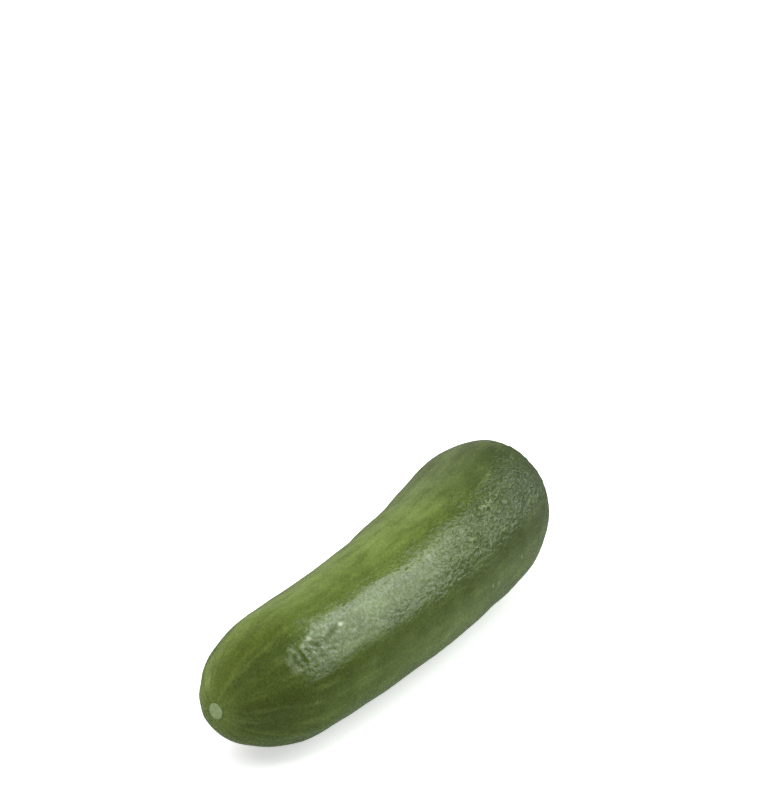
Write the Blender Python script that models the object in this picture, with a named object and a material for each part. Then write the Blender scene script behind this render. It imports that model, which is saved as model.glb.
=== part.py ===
"""A mini cucumber, picked, lying on its side.

Metres, +Z up. The fruit lies along X with its blossom end at -X and its stem end at +X, and it
bends in the floor plane, hollow side towards +Y. The origin is at the floor, under the middle of
its bounding box.
"""

import bmesh
import bpy
import numpy as np

# Driving sizes, in metres
LENGTH = 0.140  # tip to tip, along the bend
BLOSSOM_RADIUS = 0.01383  # body radius at the blossom end, before the end is rounded off
STEM_RADIUS = 0.01977  # body radius at the stem end, before the end is rounded off
SWELL_POWER = 1.4  # above 1, the body thickens faster towards the stem
BLOSSOM_ROUNDING = 0.0235  # length of the rounded blossom end
STEM_ROUNDING = 0.032  # length of the rounded stem end
BEND_RADIUS = 0.427
END_LIFT = 0.0007  # how far each end of the belly rises from the floor
FLAT_DEPTH = 0.0004  # how far the belly is pressed flat where it rests

# Relief of the skin, in metres
LOBE_COUNT = 3  # the seed chambers show as faint lobes
LOBE_HEIGHT = 0.00020
LOBE_PHASE = 1.75
RIB_COUNT = 10
RIB_HEIGHT = 0.00012  # beside the blossom scar
RIB_HEIGHT_ALONG = 0.00005  # along the body
RIB_REACH = 0.024  # the ribs fade over this length from the blossom tip
RIB_SWAY = 0.3  # how far, in radians, a rib wanders round the body on its way
RIB_UNEVENNESS = 0.9
LUMP_HEIGHT = 0.00010
LUMP_WAVES = 16
LUMP_SHORTEST = 0.011
LUMP_LONGEST = 0.034
LUMP_MOST_ROUND = 5  # a lump wave goes at most this many times round the body
LUMP_SEED = 38
TURNING_START = 0.0024  # what turns round the body starts at this radius from a tip
TURNING_FULL = 0.0135  # and has its full height from this radius on

# Blossom scar: a corky disc, slightly proud and flat on top, in a shallow moat
SCAR_RADIUS = 0.0019
SCAR_RISE = 0.00012
SCAR_DISH = 0.00018
SCAR_EDGE = 0.00045
MOAT_RADIUS = 0.0029
MOAT_DEPTH = 0.00003
MOAT_WIDTH = 0.0010

# Stem scar: the low oval stub that the stalk leaves, in a shallow dimple
STUB_RADIUS = 0.0022
STUB_OVAL = 0.18
STUB_RISE = 0.0006
STUB_DISH = 0.00025
STUB_EDGE = 0.0006
DIMPLE_RADIUS = 0.0055
DIMPLE_DEPTH = 0.0004

# Mesh
SEGMENTS = 60
RINGS = 76
END_CROWDING = 0.74  # 0 spaces the rings evenly, near 1 crowds them at the two tips
PROFILE_SAMPLES = 2001

SKIN_COLOUR = (0.105, 0.165, 0.040, 1.0)
SKIN_ROUGHNESS = 0.34


def remove_startup_objects():
    for old in list(bpy.data.objects):
        bpy.data.objects.remove(old, do_unlink=True)


def soft_step(value, start, end):
    """0 before start, 1 after end, smooth between them."""
    t = np.clip((value - start) / (end - start), 0, 1)
    return t * t * (3 - 2 * t)


def bump(value, width):
    """Bell curve: 1 at 0, near 0 beyond twice the width."""
    return np.exp(-((value / width) ** 2))


def body_radius(s):
    """Radius of the body at distance s from the blossom tip, as if the ends weren't rounded."""
    share = np.clip(s / LENGTH, 0, 1)
    return BLOSSOM_RADIUS + (STEM_RADIUS - BLOSSOM_RADIUS) * share**SWELL_POWER


def rounding(distance, length):
    """Quarter ellipse: 0 at a tip, 1 where the rounded end meets the body."""
    left = np.clip(1 - distance / length, 0, 1)
    return np.sqrt(1 - left**2)


def profile():
    """The outline that is turned round the spine, from the blossom tip to the stem tip: length
    run along the outline, distance along the spine, radius, and the outward normal's two parts."""
    angle = np.linspace(0, np.pi, PROFILE_SAMPLES)
    s = LENGTH / 2 * (1 - np.cos(angle))
    radius = body_radius(s) * rounding(s, BLOSSOM_ROUNDING) * rounding(LENGTH - s, STEM_ROUNDING)
    step = np.hypot(np.diff(s), np.diff(radius))
    run = np.concatenate(([0], np.cumsum(step)))
    normal_s = -np.gradient(radius, run)
    normal_r = np.gradient(s, run)
    return run, s, radius, normal_s, normal_r


def lumps(s, angle):
    """Sum of seeded waves along and round the body, each a whole number of times round, so that
    they close."""
    draw = np.random.default_rng(LUMP_SEED)
    length = draw.uniform(LUMP_SHORTEST, LUMP_LONGEST, LUMP_WAVES)
    times_round = draw.integers(-LUMP_MOST_ROUND, LUMP_MOST_ROUND + 1, LUMP_WAVES)
    phase = draw.uniform(0, 2 * np.pi, LUMP_WAVES)
    waves = np.cos(2 * np.pi * s[:, None] / length + angle[:, None] * times_round + phase)
    return LUMP_HEIGHT * waves.sum(axis=1) / np.sqrt(LUMP_WAVES)


def ribs(s, angle):
    """Ribs that are strongest beside the blossom scar and go on faintly along the body."""
    height = RIB_HEIGHT_ALONG + (RIB_HEIGHT - RIB_HEIGHT_ALONG) * bump(s, RIB_REACH)
    sway = RIB_SWAY * np.sin(2 * np.pi * s / LENGTH)
    return height * np.cos(RIB_COUNT * (angle + sway) + RIB_UNEVENNESS * np.sin(LOBE_COUNT * angle))


def blossom_scar(from_tip):
    """Height of the disc and its moat, from_tip being the distance over the skin from the tip."""
    disc = SCAR_RISE - SCAR_DISH * (1 - (from_tip / SCAR_RADIUS) ** 2)
    inside = 1 - soft_step(from_tip, SCAR_RADIUS - SCAR_EDGE / 2, SCAR_RADIUS + SCAR_EDGE / 2)
    return disc * inside - MOAT_DEPTH * bump(from_tip - MOAT_RADIUS, MOAT_WIDTH)


def stem_scar(from_tip, angle):
    """Height of the stub and its dimple, from_tip being the distance over the skin from the tip."""
    from_middle = from_tip / (1 + STUB_OVAL * np.cos(2 * angle))
    stub = STUB_RISE - STUB_DISH * (1 - (from_middle / STUB_RADIUS) ** 2)
    inside = 1 - soft_step(from_middle, STUB_RADIUS - STUB_EDGE / 2, STUB_RADIUS + STUB_EDGE / 2)
    return stub * inside - DIMPLE_DEPTH * bump(from_tip, DIMPLE_RADIUS)


def relief(s, radius, angle, from_blossom, from_stem):
    """Height of the skin over the plain outline. What turns round the body fades at the tips."""
    lobes = LOBE_HEIGHT * np.cos(LOBE_COUNT * angle + LOBE_PHASE)
    turning = lobes + lumps(s, angle) + ribs(s, angle)
    scars = blossom_scar(from_blossom) + stem_scar(from_stem, angle)
    return soft_step(radius, TURNING_START, TURNING_FULL) * turning + scars


def lay_down(s, radius, angle):
    """Bends the straight fruit round BEND_RADIUS and lays it on the floor.

    The spine is an arc in a level plane. Its height follows the body's radius, so that the belly
    lies along the floor and lifts a little towards both ends, and what would be under the floor
    is pressed flat against it."""
    from_middle = s - LENGTH / 2
    turn = from_middle / BEND_RADIUS
    to_centre = BEND_RADIUS - radius * np.cos(angle)
    x = to_centre * np.sin(turn)
    y = BEND_RADIUS - to_centre * np.cos(turn)
    lift = END_LIFT * (from_middle / (LENGTH / 2)) ** 2
    z = body_radius(s) + lift - FLAT_DEPTH + radius * np.sin(angle)
    return np.stack((x, y, np.maximum(z, 0)), axis=1)


def shape_fruit(ball):
    """Carries the points of a unit ball, whose poles are the two tips, onto the fruit."""
    share = 1 - np.arccos(np.clip(ball[:, 2], -1, 1)) / np.pi
    share = share - END_CROWDING * np.sin(2 * np.pi * share) / (2 * np.pi)
    angle = np.arctan2(ball[:, 1], ball[:, 0])
    run, s_line, radius_line, normal_s, normal_r = profile()
    here = share * run[-1]
    s = np.interp(here, run, s_line)
    radius = np.interp(here, run, radius_line)
    height = relief(s, radius, angle, here, run[-1] - here)
    s_raised = s + height * np.interp(here, run, normal_s)
    radius_raised = np.maximum(radius + height * np.interp(here, run, normal_r), 0)
    laid = lay_down(s_raised, radius_raised, angle)
    middle = (laid.min(axis=0) + laid.max(axis=0)) / 2
    return laid - (middle[0], middle[1], 0)


def skin_material():
    material = bpy.data.materials.new("cucumber_skin")
    material.use_nodes = True
    shader = material.node_tree.nodes["Principled BSDF"]
    shader.inputs["Base Color"].default_value = SKIN_COLOUR
    shader.inputs["Roughness"].default_value = SKIN_ROUGHNESS
    shader.inputs["Metallic"].default_value = 0.0
    material.diffuse_color = SKIN_COLOUR
    return material


def make_cucumber(collection):
    """One closed body: a ball whose rings and segments are carried onto the fruit's surface."""
    mesh = bpy.data.meshes.new("cucumber")
    ball = bmesh.new()
    bmesh.ops.create_uvsphere(ball, u_segments=SEGMENTS, v_segments=RINGS, radius=1.0)
    ball.to_mesh(mesh)
    ball.free()
    points = np.empty(len(mesh.vertices) * 3)
    mesh.vertices.foreach_get("co", points)
    mesh.vertices.foreach_set("co", shape_fruit(points.reshape(-1, 3)).ravel())
    mesh.update()
    mesh.shade_smooth()
    mesh.materials.append(skin_material())
    collection.objects.link(bpy.data.objects.new("cucumber", mesh))


def main():
    remove_startup_objects()
    parts = bpy.data.collections.new("mini_cucumber")
    bpy.context.scene.collection.children.link(parts)
    make_cucumber(parts)


main()
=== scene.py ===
"""Mini cucumber: the whole fruit with its waxy, crinkled skin, on a pale studio floor.

The fruit is one closed surface, worked out with numpy as a function of two parameters: how far
along the fruit, and how far round it. Metres, +Z up, blossom end at -X, stem end at +X, hollow
side of the bend towards +Y, resting on the floor at z = 0. Angles round the fruit are 0 on the
hollow side and a quarter turn at the top.
"""

import math

import bpy
import numpy as np
from bpy.props import FloatProperty, FloatVectorProperty, IntProperty, PointerProperty
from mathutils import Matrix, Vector


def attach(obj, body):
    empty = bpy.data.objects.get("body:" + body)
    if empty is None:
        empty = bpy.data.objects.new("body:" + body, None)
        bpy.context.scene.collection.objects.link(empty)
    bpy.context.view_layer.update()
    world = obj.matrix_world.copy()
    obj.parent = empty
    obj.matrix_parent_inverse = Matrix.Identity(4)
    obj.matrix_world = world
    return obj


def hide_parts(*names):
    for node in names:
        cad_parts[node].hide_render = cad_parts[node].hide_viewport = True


bl_info = {
    "name": "Mini Cucumber",
    "version": (1, 0, 0),
    "blender": (4, 5, 0),
    "location": "View3D > Sidebar > Cucumber",
    "description": "Builds a mini cucumber with a waxy, crinkled skin, and the studio round it",
    "category": "Add Mesh",
}

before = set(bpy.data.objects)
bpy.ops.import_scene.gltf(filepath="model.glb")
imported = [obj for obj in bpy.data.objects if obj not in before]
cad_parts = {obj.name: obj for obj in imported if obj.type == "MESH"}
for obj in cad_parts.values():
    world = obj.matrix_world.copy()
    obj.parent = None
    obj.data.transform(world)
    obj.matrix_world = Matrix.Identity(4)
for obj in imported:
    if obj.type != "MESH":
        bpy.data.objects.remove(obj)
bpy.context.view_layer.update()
NODE = "cucumber"
MM = 0.001

# Plain form, as in the solid
SWELL_POWER = 1.4
LOBE_COUNT = 3
LOBE_PHASE = 1.75
RIB_REACH = 0.024  # the ribs fade over this length from the blossom tip
RIB_SWAY = 0.3  # how far, in radians, a rib wanders round the body on its way
RIB_UNEVENNESS = 0.9
LUMP_WAVES = 16
LUMP_SHORTEST = 0.011
LUMP_LONGEST = 0.034
LUMP_MOST_ROUND = 5  # a lump wave goes at most this many times round the body
LUMP_SEED = 38
TURNING_START = 0.0024  # what turns round the body starts at this radius from a tip
TURNING_FULL = 0.0135  # and has its full height from this radius on

# Scars, as in the solid but with sharper edges
SCAR_RISE = 0.00012
SCAR_DISH = 0.00018
SCAR_EDGE = 0.00030
MOAT_RADIUS = 0.0029
MOAT_DEPTH = 0.00003
MOAT_WIDTH = 0.0010
STUB_OVAL = 0.18
STUB_RISE = 0.0006
STUB_DISH = 0.00025
STUB_EDGE = 0.0004
DIMPLE_RADIUS = 0.0055
DIMPLE_DEPTH = 0.0004
DISC_CORK_INSIDE = 0.0003  # the disc's cork fades from this far inside its edge
DISC_CORK_OUTSIDE = 0.0001  # to this far outside it
STUB_CORK_EDGE = 0.0002

# Crinkled skin, which the solid leaves out: noise cells in millimetres, along the fruit and across
COARSE_CRINKLE = np.array((1.9, 1.2, 1.2))
FINE_CRINKLE = np.array((1.2, 0.75, 0.75))
FINE_CRINKLE_SHARE = 0.7  # of the coarse crinkles' height
CRINKLE_WARP = 2.5  # cells of the noise that bends the crinkles
CRINKLE_BEND = 0.5  # how far it bends them, in crinkles
CRINKLE_PITS = 0.9  # how far their low places are drawn out
WRINKLE = np.array((1.8, 3.2, 3.2))
WRINKLE_WARP = 4.0
WRINKLE_BEND = 0.4
WRINKLE_PITS = 1.2
LOW_NOISE = -0.25  # what lies lower is drawn out
UNEVEN_CRINKLE = 6.0  # cells of the noise that makes some places more crinkled
UNEVEN_RANGE = (0.65, 1.3)  # least and most that it makes of them
FINE_START = 0.0020  # crinkles start at this radius from a tip
FINE_FULL = 0.0045  # and have their full height from this radius on
RIDGE_SPACING = 0.82  # of the sharpest crinkles, in millimetres
RIDGE_SQUEEZE = (0.65, 1.0, 1.0)  # below 1, they are longer along the fruit

# Noise: large primes that turn a lattice cell into random numbers, and the seed of each layer
HASH_PRIMES = (73856093, 19349663, 83492791)
SEED_PRIME = 2654435761
MIX_PRIME = 2246822519
HASH_RANGE = 2**32
NOISE_GAIN = 1.6  # brings the noise to about -1 to 1
CRINKLE_WARP_SEEDS = (11, 12, 13)
COARSE_SEED = 21
FINE_SEED = 22
UNEVEN_SEED = 23
WRINKLE_SEED = 31
WRINKLE_WARP_SEEDS = (32, 33, 34)

# Steps in which the outline, the rings' places and the places round them are worked out
PROFILE_SAMPLES = 4001
RUN_SAMPLES = 4000
TURN_SAMPLES = 2000

# Tones near the tips
HALF_WAY = 0.070  # along the fruit
SETTLED_START = 0.0015  # tones start to vary round the fruit at this radius from a tip
SETTLED_FULL = 0.0075  # and vary fully from this radius on at the blossom end
SETTLED_FULL_AT_STEM = 0.0135

# Pattern of the skin: sizes in millimetres, and how strongly each part shows
BROAD_STREAK = {"length": 11.0, "width": 2.4}
FINE_STREAK = {"length": 15.0, "width": 1.1}
FINE_STREAK_SHARE = 0.4
FINE_STREAK_SHARE_AT_NOSE = 0.1
STREAK_STRENGTH = 0.26
STREAK_STRENGTH_AT_NOSE = 0.20
NOSE_START = 6.0  # streaks change between these distances from the blossom tip
NOSE_END = 40.0
PALE_UNEVENNESS = 1.5  # how much the paler skin varies with the broad streaks
CLOUD_SIZE = 6.0
CLOUD_STRENGTH = 0.6
SKIN_GRAIN_SIZE = 0.45
SHADE_OFFSET = -0.02  # keeps the grain and the clouds from changing the mean brightness
# Crest strength is a painted highlight on the crinkles' crests; dent strength is painted shade in
# their dents and folds
CREST_HIGHLIGHT_STRENGTH = 0.15
DENT_SHADE_STRENGTH = 0.6
STAIN_STRENGTH = 0.6
SPECKS = {"spacing": 5.0, "radius": 0.5, "share": 0.2}
SPECK_STRENGTH = 0.35
BLOOM_STRENGTH = 0.02
BLOOM_CLOUDS = 0.16  # how much stronger the bloom is in the clouds
CORK_RIM_STRENGTH = 0.6

# Gloss of the skin and its wax, where a pair is the least and the most
WAX_GRAIN_SIZE = 0.5
MOTTLE_SIZE = 1.0  # of the patches of rubbed wax
WAX_IN_PATCHES = (0.15, 1.7)
WAX_ON_GRAIN = (0.4, 1.2)
WAX_LOST = 0.9  # share of the wax that dents and cork lack
ROUGHNESS_ON_GRAIN = (-0.05, 0.07)
BARE_ROUGHNESS = 0.04  # what skin without wax adds to the roughness
DENT_ROUGHNESS = 0.25
CORK_ROUGHNESS = 0.4
SPECULAR = 0.28
SKIN_IOR = 1.5


def length_setting(name, description, value):
    """A setting in metres."""
    return FloatProperty(name=name, description=description, default=value, unit="LENGTH")


def colour_setting(name, description, value):
    """A colour, given without its alpha."""
    return FloatVectorProperty(
        name=name, description=description, subtype="COLOR", size=4, default=(*value, 1.0)
    )


def share_setting(name, description, value):
    """A share from 0 to 1."""
    return FloatProperty(
        name=name, description=description, default=value, subtype="FACTOR", min=0, max=1
    )


def angle_setting(name, description, degrees):
    """An angle, given in degrees."""
    return FloatProperty(
        name=name, description=description, default=math.radians(degrees), subtype="ANGLE"
    )


class FruitShape(bpy.types.PropertyGroup):
    """Driving sizes of the fruit."""

    length: length_setting("Length", "Tip to tip, along the bend", 0.140)
    blossom_radius: length_setting(
        "Blossom radius", "Body radius at the blossom end, before the end is rounded off", 0.01383
    )
    stem_radius: length_setting(
        "Stem radius", "Body radius at the stem end, before the end is rounded off", 0.01977
    )
    blossom_rounding: length_setting(
        "Blossom rounding", "Length of the rounded blossom end", 0.0235
    )
    stem_rounding: length_setting("Stem rounding", "Length of the rounded stem end", 0.032)
    bend_radius: length_setting("Bend radius", "Radius of the spine's arc", 0.427)
    end_lift: length_setting(
        "End lift", "How far each end of the belly rises from the floor", 0.0007
    )
    flat_depth: length_setting(
        "Flat depth", "How far the belly is pressed flat where it rests", 0.0004
    )
    scar_radius: length_setting("Blossom scar", "Radius of the corky disc", 0.0019)
    stub_radius: length_setting("Stem scar", "Radius of the stalk's stub", 0.0022)
    rings: IntProperty(
        name="Rings", description="Rings of vertices along the fruit", default=346, min=24
    )
    around: IntProperty(
        name="Around", description="Vertices in each ring", default=288, min=12
    )


class FruitRelief(bpy.types.PropertyGroup):
    """Heights of the skin's relief."""

    lobe: length_setting("Lobes", "Height of the three seed chambers' lobes", 0.00020)
    rib: length_setting("Ribs", "Height of the ribs beside the blossom scar", 0.00012)
    rib_along: length_setting("Ribs along", "Height of the ribs along the body", 0.00005)
    rib_count: IntProperty(name="Rib count", description="Ribs round the body", default=10, min=3)
    lump: length_setting("Lumps", "Height of the broad lumps", 0.00010)
    swelling: length_setting(
        "Swelling", "Height of the swelling and depth of the dip beside the top", 0.00018
    )
    crinkle: length_setting("Crinkles", "Height of the crinkles on the stem half", 0.00014)
    wrinkle: length_setting(
        "Wrinkles", "Height of the wider wrinkles that run round the girth", 0.00009
    )
    fold: length_setting("Folds", "Depth of the short folds behind the blossom end", 0.00014)
    grain: length_setting("Grain", "Height of the fine grain of the wax, as bump", 0.00003)
    ridge: length_setting("Ridges", "Height of the sharpest crinkles, as bump", 0.00031)


class SkinLook(bpy.types.PropertyGroup):
    """Colours and gloss of the skin."""

    body: colour_setting("Body green", "Skin along the body", (0.106, 0.147, 0.027))
    pale: colour_setting(
        "Pale green", "Skin on the hollow side, which lay in the shade", (0.208, 0.276, 0.073)
    )
    # The deep green also paints shade into dents and folds
    deep: colour_setting("Deep green", "Dark streaks, dents and stains", (0.050, 0.080, 0.012))
    # The stem shade is partly the skin's own darker stem end and partly painted shadow on its upper
    # side
    shade: colour_setting(
        "Stem shade", "What darkens the skin at the stem end", (0.34, 0.34, 0.44)
    )
    olive: colour_setting(
        "Olive shade", "What darkens its stripe, crown and both ends", (0.34, 0.34, 0.20)
    )
    yellow: colour_setting(
        "Yellow shade", "What yellows the skin beside the shine", (0.98, 1.0, 0.62)
    )
    bloom: colour_setting("Bloom", "Dusty film on the wax", (0.36, 0.38, 0.32))
    # Most of these pale spots are painted glints in the shine, the rest pale specks
    glint_and_speck: colour_setting("Flake", "Lifted flakes of the wax", (0.60, 0.64, 0.46))
    cork: colour_setting("Cork", "Blossom scar and stem scar", (0.30, 0.36, 0.20))
    roughness: share_setting("Roughness", "Roughness of the skin under its wax", 0.24)
    wax: share_setting("Wax", "How thick the wax lies on the smooth half", 0.60)
    wax_roughness: share_setting("Wax roughness", "Roughness of the wax", 0.16)


class StudioLook(bpy.types.PropertyGroup):
    """Camera, lights and floor. Bearings go from the way the camera looks, towards its right."""

    camera_height: length_setting("Camera height", "Above the floor", 0.18541)
    camera_distance: length_setting(
        "Camera distance", "Along the floor from the camera to the fruit's middle", 0.42103
    )
    camera_offset: length_setting(
        "Camera offset", "How far the camera stands left of the line to the fruit's middle", 0.00271
    )
    camera_turn: angle_setting(
        "Camera turn", "From the fruit's +X to the camera's right, about +Z", 62.76
    )
    camera_pitch: angle_setting("Camera pitch", "How far the camera looks down", 16.545)
    lens: FloatProperty(
        name="Lens", description="Focal length in millimetres on a 36 mm frame", default=90.0
    )
    window_distance: length_setting("Window distance", "From the fruit to the soft box", 1.0)
    window_radiance: FloatProperty(
        name="Window radiance", description="Brightness of the soft box", default=3.8
    )
    fill: FloatProperty(
        name="Fill", description="Brightness of the wide light overhead", default=2.6
    )
    surround: FloatProperty(
        name="Surround", description="Brightness of the studio's walls", default=0.35
    )


# Soft box, fill light, floor with its glow, and backdrop
WINDOW_FROM = math.radians(41.5)  # bearing of the soft box's near edge
WINDOW_TO = math.radians(106)  # bearing of its far edge
WINDOW_BOTTOM = math.radians(8.5)  # elevation of its lower edge
WINDOW_TOP = math.radians(57)  # elevation of its upper edge
WINDOW_SIDE_DIMMING = 0.5  # brightness at its far edge, as a share of its brightest part
WINDOW_FOOT_DIMMING = 0.55  # brightness at its lower edge
WINDOW_SIDE_RAMP = (0.05, 0.65)  # shares of its width between which it brightens
WINDOW_FOOT_RAMP = (0.1, 0.5)  # shares of its height between which it brightens
WINDOW_TINT = (0.90, 1.0, 0.94)
FILL_ANGLE = math.radians(80)
FILL_BEARING = math.radians(-85)
FILL_TILT = math.radians(20)  # from straight overhead
CAMERA_NEAREST = 0.01
FLOOR_RADIUS = 3.0
FLOOR_SIDES = 96
FLOOR_GAP = 0.00005
FLOOR_ROUGHNESS = 0.9
FLOOR_SEEN = 0.95
FLOOR_LIGHTING = 0.70
GLOW_SEEN = 0.56
GLOW_MIRRORED = (0.15, 0.19, 0.13, 1.0)  # close to the fruit
GLOW_LIGHTING = 0.16
GLOW_FADE = (0.02, 0.11)  # the mirrored glow fades between these distances from the spine
SPINE_REACH = 0.05  # how far the spine reaches either way from the middle
WALLS_MIRRORED = 0.04
SWEEP_BEARING = math.radians(-8)  # the pale backdrop stands beyond the fruit
SWEEP_MIRRORED = (0.19, 0.21, 0.16, 1.0)
SWEEP_ON_FLOOR = (0.05, 0.20)  # it starts between these distances beyond the fruit
SWEEP_SIDES = (0.55, 0.92)  # and fades sideways between these cosines
SWEEP_TOP = (0.10, 0.35)  # and upwards between these sines

# Marks on the skin, each where it lies along the fruit (millimetres) and round it (degrees)
FOLDS = (  # length and width in millimetres, heading in degrees from along the fruit, depth
    (15.2, 139, 4.4, 0.55, 88, 1.3),
    (13.4, 138, 4.0, 0.45, 80, 0.6),
    (19.6, 136, 3.4, 0.60, 40, 1.0),
    (25.2, 134.5, 6.4, 0.70, -14, 1.6),
    (21.4, 125, 2.4, 0.45, 65, 0.6),
    (17.6, 146, 2.6, 0.45, 60, 0.5),
    (23.5, 147, 3.0, 0.45, 20, 0.5),
    (30.0, 149, 3.5, 0.45, 5, 0.5),
    (36.5, 151, 3.0, 0.40, 20, 0.5),
    (46.0, 144, 2.5, 0.40, 70, 0.4),
)
PAINTED_GLINTS_AND_SPECKS = (  # pale spots, most of them painted glints in the shine: radius in millimetres, and how much of it shows
    (18.9, 128.5, 0.6, 0.6),
    (28.9, 132, 0.6, 1.0),
    (16.9, 131, 0.6, 0.25),
    (20.8, 140.5, 0.4, 0.4),
    (18.3, 140.5, 0.4, 0.4),
    (31.3, 142, 0.4, 0.3),
    (64.5, 129, 0.9, 0.15),
    (79.5, 131, 1.0, 0.15),
    (12.4, 137, 0.9, 0.15),
    (12.9, 146, 1.3, 0.14),
    (83.8, 185, 0.5, 0.4),
    (86.8, 187, 0.5, 0.35),
    (99.5, 183, 0.5, 0.35),
    (124, 91, 0.6, 0.5),
)
STAINS = (  # the same
    (104.2, 102, 1.0, 1.0),
    (27.4, 199, 1.3, 0.6),
    (12.6, 128, 1.3, 0.5),
    (12.2, 124, 2.6, 0.5),
    (25.4, 128, 1.6, 0.4),
    (20.4, 120, 1.9, 0.5),
    (29.5, 125, 1.8, 0.25),
    (15.3, 135, 0.7, 0.5),
    (15.3, 141, 0.7, 0.5),
    (19.3, 135, 0.8, 0.4),
    (27.0, 132, 0.8, 0.5),
    (25.4, 133.5, 0.8, 0.4),
    (23.8, 135, 0.7, 0.35),
    (22.5, 137, 0.7, 0.3),
)


def soft_step(value, start, end):
    """0 before start, 1 after end, smooth between them."""
    t = np.clip((value - start) / (end - start), 0, 1)
    return t * t * (3 - 2 * t)


def bump(value, width):
    """Bell curve: 1 at 0, near 0 beyond twice the width."""
    return np.exp(-((value / width) ** 2))


def turn_from(angle, degrees):
    """How far an angle round the fruit is from another, in degrees, the short way round."""
    return (np.degrees(angle) - degrees + 180) % 360 - 180


def body_radius(shape, s):
    """Radius of the body at distance s from the blossom tip, as if the ends weren't rounded."""
    share = np.clip(s / shape.length, 0, 1)
    return shape.blossom_radius + (shape.stem_radius - shape.blossom_radius) * share**SWELL_POWER


def rounding(distance, length):
    """Quarter ellipse: 0 at a tip, 1 where the rounded end meets the body."""
    left = np.clip(1 - distance / length, 0, 1)
    return np.sqrt(1 - left**2)


def profile(shape):
    """The outline that is turned round the spine, from the blossom tip to the stem tip: length
    run along the outline, distance along the spine, radius, and the outward normal's two parts."""
    angle = np.linspace(0, np.pi, PROFILE_SAMPLES)
    s = shape.length / 2 * (1 - np.cos(angle))
    radius = body_radius(shape, s)
    radius *= rounding(s, shape.blossom_rounding) * rounding(shape.length - s, shape.stem_rounding)
    step = np.hypot(np.diff(s), np.diff(radius))
    run = np.concatenate(([0], np.cumsum(step)))
    return run, s, radius, -np.gradient(radius, run), np.gradient(s, run)


def lumps(s, angle):
    """Sum of seeded waves along and round the body, each a whole number of times round."""
    draw = np.random.default_rng(LUMP_SEED)
    length = draw.uniform(LUMP_SHORTEST, LUMP_LONGEST, LUMP_WAVES)
    times_round = draw.integers(-LUMP_MOST_ROUND, LUMP_MOST_ROUND + 1, LUMP_WAVES)
    phase = draw.uniform(0, 2 * np.pi, LUMP_WAVES)
    waves = np.zeros_like(s)
    for wave_length, turns, start in zip(length, times_round, phase):
        waves += np.cos(2 * np.pi * s / wave_length + angle * turns + start)
    return waves / np.sqrt(LUMP_WAVES)


def swellings(s, angle):
    """Bell curves beside the top: a low swelling behind the blossom end, a dip further back."""
    along = bump(s - 0.028, 0.009) - 1.1 * bump(s - 0.074, 0.019)
    return along * bump(turn_from(angle, 108), 13)


def ribs(shape, relief, s, angle):
    """Cosine round the body, strongest beside the blossom scar and faint along the body."""
    height = relief.rib_along + (relief.rib - relief.rib_along) * bump(s, RIB_REACH)
    sway = RIB_SWAY * np.sin(2 * np.pi * s / shape.length)
    turn = relief.rib_count * (angle + sway) + RIB_UNEVENNESS * np.sin(LOBE_COUNT * angle)
    return height * np.cos(turn)


def blossom_scar(shape, from_tip):
    """Flat disc in a moat: a dished height inside the scar's radius, less a bell-shaped ring."""
    radius = shape.scar_radius
    disc = SCAR_RISE - SCAR_DISH * (1 - (from_tip / radius) ** 2)
    inside = 1 - soft_step(from_tip, radius - SCAR_EDGE / 2, radius + SCAR_EDGE / 2)
    return disc * inside - MOAT_DEPTH * bump(from_tip - MOAT_RADIUS, MOAT_WIDTH)


def as_if_round(from_tip, angle):
    """Distance from the stem tip, scaled so that the oval stub's edge is a circle."""
    return from_tip / (1 + STUB_OVAL * np.cos(2 * angle))


def stem_scar(shape, from_tip, angle):
    """Low oval stub in a bell-shaped dimple."""
    radius = shape.stub_radius
    from_middle = as_if_round(from_tip, angle)
    stub = STUB_RISE - STUB_DISH * (1 - (from_middle / radius) ** 2)
    inside = 1 - soft_step(from_middle, radius - STUB_EDGE / 2, radius + STUB_EDGE / 2)
    return stub * inside - DIMPLE_DEPTH * bump(from_tip, DIMPLE_RADIUS)


def hashed(cell, seed):
    """Whole-number lattice cells to repeatable random numbers from -1 to 1, three for each."""
    x, y, z = (cell[..., i].astype(np.uint64) * np.uint64(HASH_PRIMES[i]) for i in range(3))
    mixed = x ^ y ^ z ^ np.uint64(seed * SEED_PRIME % HASH_RANGE)
    out = []
    for _ in range(3):
        mixed = (mixed ^ (mixed >> np.uint64(15))) * np.uint64(MIX_PRIME) % np.uint64(HASH_RANGE)
        mixed ^= mixed >> np.uint64(13)
        out.append(mixed.astype(float) / (HASH_RANGE / 2) - 1)
    return np.stack(out, axis=-1)


def noise(points, seed):
    """Gradient noise, about -1 to 1, one cell per unit: at each of the eight corners round a
    point, a random slope times the way to the point, blended with a quintic fade."""
    cell = np.floor(points).astype(np.int64)
    local = points - cell
    fade = local**3 * (local * (local * 6 - 15) + 10)
    total = np.zeros(points.shape[:-1])
    for corner in np.ndindex(2, 2, 2):
        slope = hashed(cell + corner, seed)
        weight = np.prod(np.where(corner, fade, 1 - fade), axis=-1)
        total += weight * np.sum(slope * (local - corner), axis=-1)
    return NOISE_GAIN * total


def straightened(s, radius, angle):
    """The surface as if the fruit were straight: along the spine, and two ways across it."""
    return np.stack((s, radius * np.cos(angle), radius * np.sin(angle)), axis=-1)


def spot(s, angle, along, reach, turn, width):
    """A soft spot on the skin: a bell curve along the fruit, in metres, times one round it, in
    degrees."""
    return bump(s - along, reach) * bump(turn_from(angle, turn), width)


def wrinkled_patch(s, angle):
    """1 in a patch behind the blossom end, 0 elsewhere."""
    return spot(s, angle, 0.0175, 0.006, 141, 19)


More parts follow.
